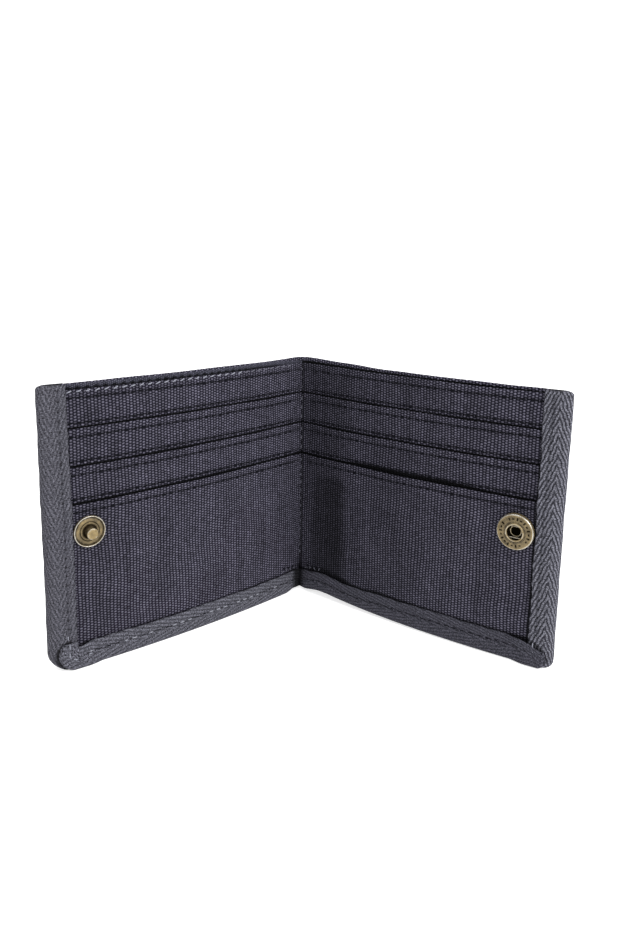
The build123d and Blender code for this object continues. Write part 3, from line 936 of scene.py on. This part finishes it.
def spine_stitches(mats):
    """The upright seam beside the crease."""
    made = []
    edges = [SEAM_FOOT] + [TOP_Z[layer] for layer in reversed(FRONT_ORDER)]
    for layer, low, high in zip(reversed(FRONT_ORDER), edges, edges[1:]):
        n = LAYER_N[layer]
        s = crease_s(n)
        for z in steps(low + 2.4, high - 2.2):
            here = Vector(leaf_point(RIGHT, s + 0.001, n, z, 1.2)) + Vector((0, 0.02 * MM, 0))
            made.append((here, (0, 0, 1), (0, -1, 0), 1.9 * MM, 0.2 * MM))
    return add_stitches("spine_thread", [(made, mats["seam_thread"])])


# ---- snap


def snap_matrix(side):
    """Frame on the lowest pocket's face at the snap: X along the leaf, Z out of the face."""
    here = leaf_point(side, SNAP_S[side], 0, SNAP_Z[side], shift=False)
    ahead = leaf_point(side, SNAP_S[side], 1, SNAP_Z[side], shift=False)
    origin = Vector(here)
    out = (Vector(ahead) - origin).normalized()
    up = Vector((0, 0, 1))
    along = up.cross(out).normalized()
    return Matrix.Translation(origin) @ Matrix((along, up, out)).transposed().to_4x4()


def rounded(profile, passes=2):
    """Round a profile's corners by cutting them, keeping both ends."""
    points = [np.array(p, float) for p in profile]
    for _ in range(passes):
        made = [points[0]]
        for a, b in zip(points[:-1], points[1:]):
            made += [a * 0.75 + b * 0.25, a * 0.25 + b * 0.75]
        made.append(points[-1])
        points = made
    return points


def divided(points, longest=0.16):
    """Add points so that no step of a profile is longer than this."""
    made = [points[0]]
    for a, b in zip(points[:-1], points[1:]):
        count = max(1, math.ceil(math.hypot(b[0] - a[0], b[1] - a[1]) / longest))
        made += [a + (b - a) * i / count for i in range(1, count + 1)]
    return made


def lathe(name, side, profile, material, marks=None, turns=120):
    """A turned part from (radius, height, wear) points. marks gives the depth of stamped marks."""
    ring = np.array(divided(rounded(profile)))
    count = len(ring)
    points, uvs, faces = [], [], []
    for i in range(turns):
        angle = 2 * math.pi * i / turns
        depth = marks(angle, ring[:, 0]) if marks else np.zeros(count)
        for (r, h, w), d in zip(ring, depth):
            points.append(Vector((r * math.cos(angle), r * math.sin(angle), h - 0.1 * d)) * MM)
            uvs.append((i / turns, w - 0.9 * d))
        k = (i + 1) % turns
        for j in range(count - 1):
            faces.append((i * count + j, k * count + j, k * count + j + 1, i * count + j + 1))
    obj = make_object(name, points, faces, uvs, [material])
    obj.data.transform(snap_matrix(side))
    return obj


def stud(material):
    """The stud: a stepped base with a thin bright rim, and a flat-topped post."""
    return lathe("stud_metal", LEFT, [
        (0.0, 0.06, 0.1), (5.0, 0.06, 0.1), (5.2, 0.2, 0.2), (5.22, 0.75, 0.9), (5.14, 1.0, 1.6),
        (4.98, 1.05, 1.7), (4.82, 0.95, 1.1), (4.7, 0.5, -0.1), (4.45, 0.48, 0.0), (4.2, 0.62, 0.5),
        (3.55, 0.74, 0.56), (3.3, 0.72, 0.4), (3.18, 0.5, -0.2), (3.08, 0.55, 0.0), (2.95, 0.8, 0.62),
        (2.7, 0.82, 0.5), (2.45, 0.76, 0.3), (2.2, 0.5, -0.4), (1.8, 0.48, -0.5), (1.54, 0.8, -0.2),
        (1.5, 2.2, 0.1), (1.5, 2.98, 0.3), (1.6, 3.12, 0.5), (1.84, 3.24, 0.8), (1.87, 3.4, 0.95),
        (1.84, 3.58, 1.1), (1.72, 3.68, 1.15), (1.4, 3.7, 0.9), (0.7, 3.69, 0.85), (0.0, 3.69, 0.8),
    ], material)


def stamped(angle, radius):
    """Depth of a generic ring of small marks: bars and dots by turns, with two plain gaps."""
    count = 22
    place = angle / (2 * math.pi) * count
    number = round(place)
    away = abs(place - number) * 2 * math.pi * 4.5 / count
    if number % (count // 2) == count // 4 + 3:
        return np.zeros(len(radius))
    if number % 2:
        low, high, half_width = 4.15, 5.15, 0.2
    else:
        low, high, half_width = 4.4, 4.85, 0.3
    width = 1 - smooth(half_width - 0.05, half_width + 0.12, away)
    return width * smooth(low - 0.1, low + 0.1, radius) * (1 - smooth(high - 0.1, high + 0.1, radius))


def beaded(angle, radius):
    """Depth of the fine ribs pressed in round the socket's mouth."""
    rib = 0.5 + 0.5 * math.cos(44 * angle)
    return 0.5 * rib * smooth(3.2, 3.35, radius) * (1 - smooth(3.75, 3.9, radius))


def socket(material):
    """The socket: a flat-topped ring with a rolled rim round its mouth and a ring of small stamped marks."""
    def marks(angle, radius):
        outer_face = np.arange(len(radius)) < np.argmin(np.where(radius > 2.6, radius, 9))
        return (stamped(angle, radius) + beaded(angle, radius)) * outer_face

    return lathe("socket_metal", RIGHT, [
        (5.9, 0.06, 0.1), (6.1, 0.2, 0.2), (6.15, 0.5, 0.3), (6.15, 1.4, 0.9), (6.1, 1.75, 1.6),
        (5.93, 1.98, 1.7), (5.72, 2.07, 1.0), (5.4, 2.12, 0.45), (4.6, 2.25, 0.5), (4.0, 2.3, 0.55),
        (3.5, 2.34, 0.5), (3.2, 2.38, 0.1), (3.12, 2.5, 0.8), (2.98, 2.66, 1.2), (2.82, 2.7, 1.3),
        (2.65, 2.64, 1.0), (2.53, 2.5, 0.4), (2.5, 2.3, -0.2), (2.5, 2.12, -0.6), (4.2, 2.08, -0.9),
        (4.48, 1.7, -0.9), (4.48, 0.5, -0.9), (4.3, 0.37, -0.7), (2.0, 0.36, -0.5),
    ], material, marks, turns=360)


def socket_eyelet(material):
    """The socket's rivet: a thin cap behind the cloth and a tube rolled over into a fine ring."""
    return lathe("socket_rivet_metal", RIGHT, [
        (0.0, -0.93, 0.3), (4.2, -0.93, 0.4), (4.5, -0.74, 0.5), (4.4, -0.55, 0.3), (1.8, -0.55, 0.1),
        (1.8, 0.35, 0.0), (2.0, 0.4, 0.3), (2.05, 0.52, 0.9), (1.92, 0.64, 1.3), (1.72, 0.64, 1.2),
        (1.58, 0.52, 0.4), (1.52, 0.3, -0.9), (1.5, -0.2, -1.3), (0.0, -0.3, -1.3),
    ], material)


def stud_back(material):
    """The stud's rivet: a thin cap behind the cloth and its shank."""
    return lathe("stud_rivet_metal", LEFT, [
        (0.0, -0.93, 0.3), (4.2, -0.93, 0.4), (4.5, -0.74, 0.5), (4.4, -0.55, 0.3), (1.12, -0.55, 0.1),
        (1.12, 2.1, 0.3), (0.9, 2.25, 0.3), (0.0, 2.25, 0.3),
    ], material)


# ---- assembly


def bend_at_spine(piece):
    """Bake a piece that crosses the fold into its points where it stands."""
    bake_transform(piece)


def build_leaf(side, mats):
    """Every piece of one leaf."""
    word = SIDE_NAME[side]
    leaf = word + "_leaf"
    for layer in ("shell", "lining", "divider", "pocket_1", "pocket_2", "pocket_3"):
        material = mats["lining" if layer == "lining" else "canvas"]
        soften = {"shell": 5.2, "lining": 5.0, "divider": 1.6}.get(layer, 1.2)
        piece = cloth_panel(layer, side, material, soften)
        bend_at_spine(piece)
        nodes = [f"{layer}_{word}"] + ([f"{layer}_spine"] if side == LEFT else [])
        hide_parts(*nodes)
    tape = side_tape(side, mats["side_tape_" + word])
    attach(tape, leaf)
    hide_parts(f"side_binding_{word}")
    low = bottom_tape(side, mats["bottom_tape_" + word])
    bend_at_spine(low)
    nodes = [f"bottom_binding_{word}"] + (["bottom_binding_spine"] if side == LEFT else [])
    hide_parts(*nodes)
    for made, node, crosses in ((pocket_stitches(side, mats), "pocket_stitching", True),
                                (binding_stitches(side, mats), "binding_stitching", True),
                                (corner_stitches(side, mats), "corner_tack", False)):
        if crosses:
            bend_at_spine(made)
        else:
            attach(made, leaf)
        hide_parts(f"{node}_{word}")


def add_area_light(name, location, target, size, energy):
    """A soft rectangular studio light."""
    data = bpy.data.lights.new(name, "AREA")
    data.shape = "RECTANGLE"
    data.size, data.size_y = size
    data.energy = energy
    light = bpy.data.objects.new(name, data)
    bpy.context.scene.collection.objects.link(light)
    light.location = location
    light.rotation_euler = (Vector(target) - Vector(location)).to_track_quat("-Z", "Y").to_euler()
    return light


def studio():
    """Pale floor, white surroundings and soft lights."""
    size = 4.0
    points = [(-size, -size, 0), (size, -size, 0), (size, size, 0), (-size, size, 0)]
    floor = make_object("floor", points, [(0, 1, 2, 3)], materials=[floor_material()], smooth_shade=False)
    world = bpy.data.worlds.new("studio")
    world.use_nodes = True
    background = world.node_tree.nodes["Background"]
    background.inputs[0].default_value = (1, 1, 1, 1)
    background.inputs[1].default_value = 1.12
    bpy.context.scene.world = world
    centre = (0, 0, 0.05)
    lights = [
        add_area_light("key", (0.62, -0.5, 0.62), centre, (0.35, 0.35), 8.0),
        add_area_light("top", (0.0, 0.15, 1.1), centre, (0.9, 0.9), 7.0),
    ]


def make_camera():
    """The photograph's viewpoint."""
    turn = Matrix.Rotation(-CAMERA_YAW, 3, "Z")
    c, s = math.cos(CAMERA_PITCH), math.sin(CAMERA_PITCH)
    right, forward, up = turn @ Vector((1, 0, 0)), turn @ Vector((0, c, -s)), turn @ Vector((0, s, c))
    cr, sr = math.cos(CAMERA_ROLL), math.sin(CAMERA_ROLL)
    right, up = right * cr + up * sr, up * cr - right * sr
    position = (turn @ Vector(CAMERA_FROM_CREASE) + Vector((0, CREASE_Y, 0))) * MM
    data = bpy.data.cameras.new("camera")
    data.sensor_fit = "HORIZONTAL"
    data.sensor_width = SENSOR_WIDTH
    data.lens = CAMERA_LENS
    data.shift_y = CAMERA_SHIFT
    data.clip_start = 0.01
    camera = bpy.data.objects.new("camera", data)
    bpy.context.scene.collection.objects.link(camera)
    camera.matrix_world = Matrix.Translation(position) @ Matrix((right, up, -forward)).transposed().to_4x4()
    bpy.context.scene.camera = camera


def main():
    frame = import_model()
    bpy.context.scene.view_settings.view_transform = "Standard"
    bottom_twill = {"apex_u": 5.0, "steep": 4.2, "rib_rise": 5.2, "crisp": 1.2}
    mats = {
        "canvas": canvas_material("canvas", (0.0035, 0.003, 0.0075), (0.113, 0.108, 0.142)),
        # The lining's colours are painted shade: near-black so the gap behind the divider reads dark.
        "lining": canvas_material(
            "lining_canvas", (0.004, 0.004, 0.006), (0.02, 0.02, 0.026), warp_pitch=0.7, dot_period=0.6),
        # The four tape colours are lit and shaded copies of one tape: painted light and shade for how each
        # side and edge faces the lamps.
        "side_tape_left": herringbone_material(
            "herringbone_left_painted_light", (0.034, 0.034, 0.042), (0.075, 0.074, 0.089), steep=-2.45, grain_share=1.0),
        "side_tape_right": herringbone_material(
            "herringbone_right_painted_light", (0.014, 0.014, 0.019), (0.134, 0.134, 0.16), steep=2.45, grain_share=1.05),
        "bottom_tape_left": herringbone_material(
            "herringbone_bottom_left_painted_light", (0.034, 0.034, 0.042), (0.088, 0.088, 0.106),
            grain_share=1.25, **bottom_twill),
        "bottom_tape_right": herringbone_material(
            "herringbone_bottom_right_painted_light", (0.022, 0.022, 0.029), (0.054, 0.053, 0.067),
            grain_share=1.1, **bottom_twill),
        "thread": thread_material("dark_thread", (0.004, 0.004, 0.006)),
        "tape_thread": thread_material("tape_thread", (0.05, 0.05, 0.062)),
        "seam_thread": thread_material("seam_thread", (0.09, 0.09, 0.11)),
        "tack_thread": thread_material("tack_thread", (0.20, 0.205, 0.24)),
        "pale_thread": thread_material("pale_thread", (0.24, 0.245, 0.28)),
        "brass": brass_material("antique_brass"),
        "wire": wire_material("spring_wire"),
    }
    for side in (LEFT, RIGHT):
        build_leaf(side, mats)
    seam = spine_stitches(mats)
    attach(seam, "spine")
    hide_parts("stitching_spine")
    for made, node, leaf in (
        (stud(mats["brass"]), "snap_stud", "left_leaf"),
        (stud_back(mats["brass"]), "stud_rivet", "left_leaf"),
        (socket(mats["brass"]), "snap_socket", "right_leaf"),
        (socket_eyelet(mats["brass"]), "socket_rivet", "right_leaf"),
    ):
        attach(made, leaf)
        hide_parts(node)
    for slot in frame["nodes"]["socket_spring"].material_slots:
        slot.material = mats["wire"]
    studio()
    make_camera()


main()
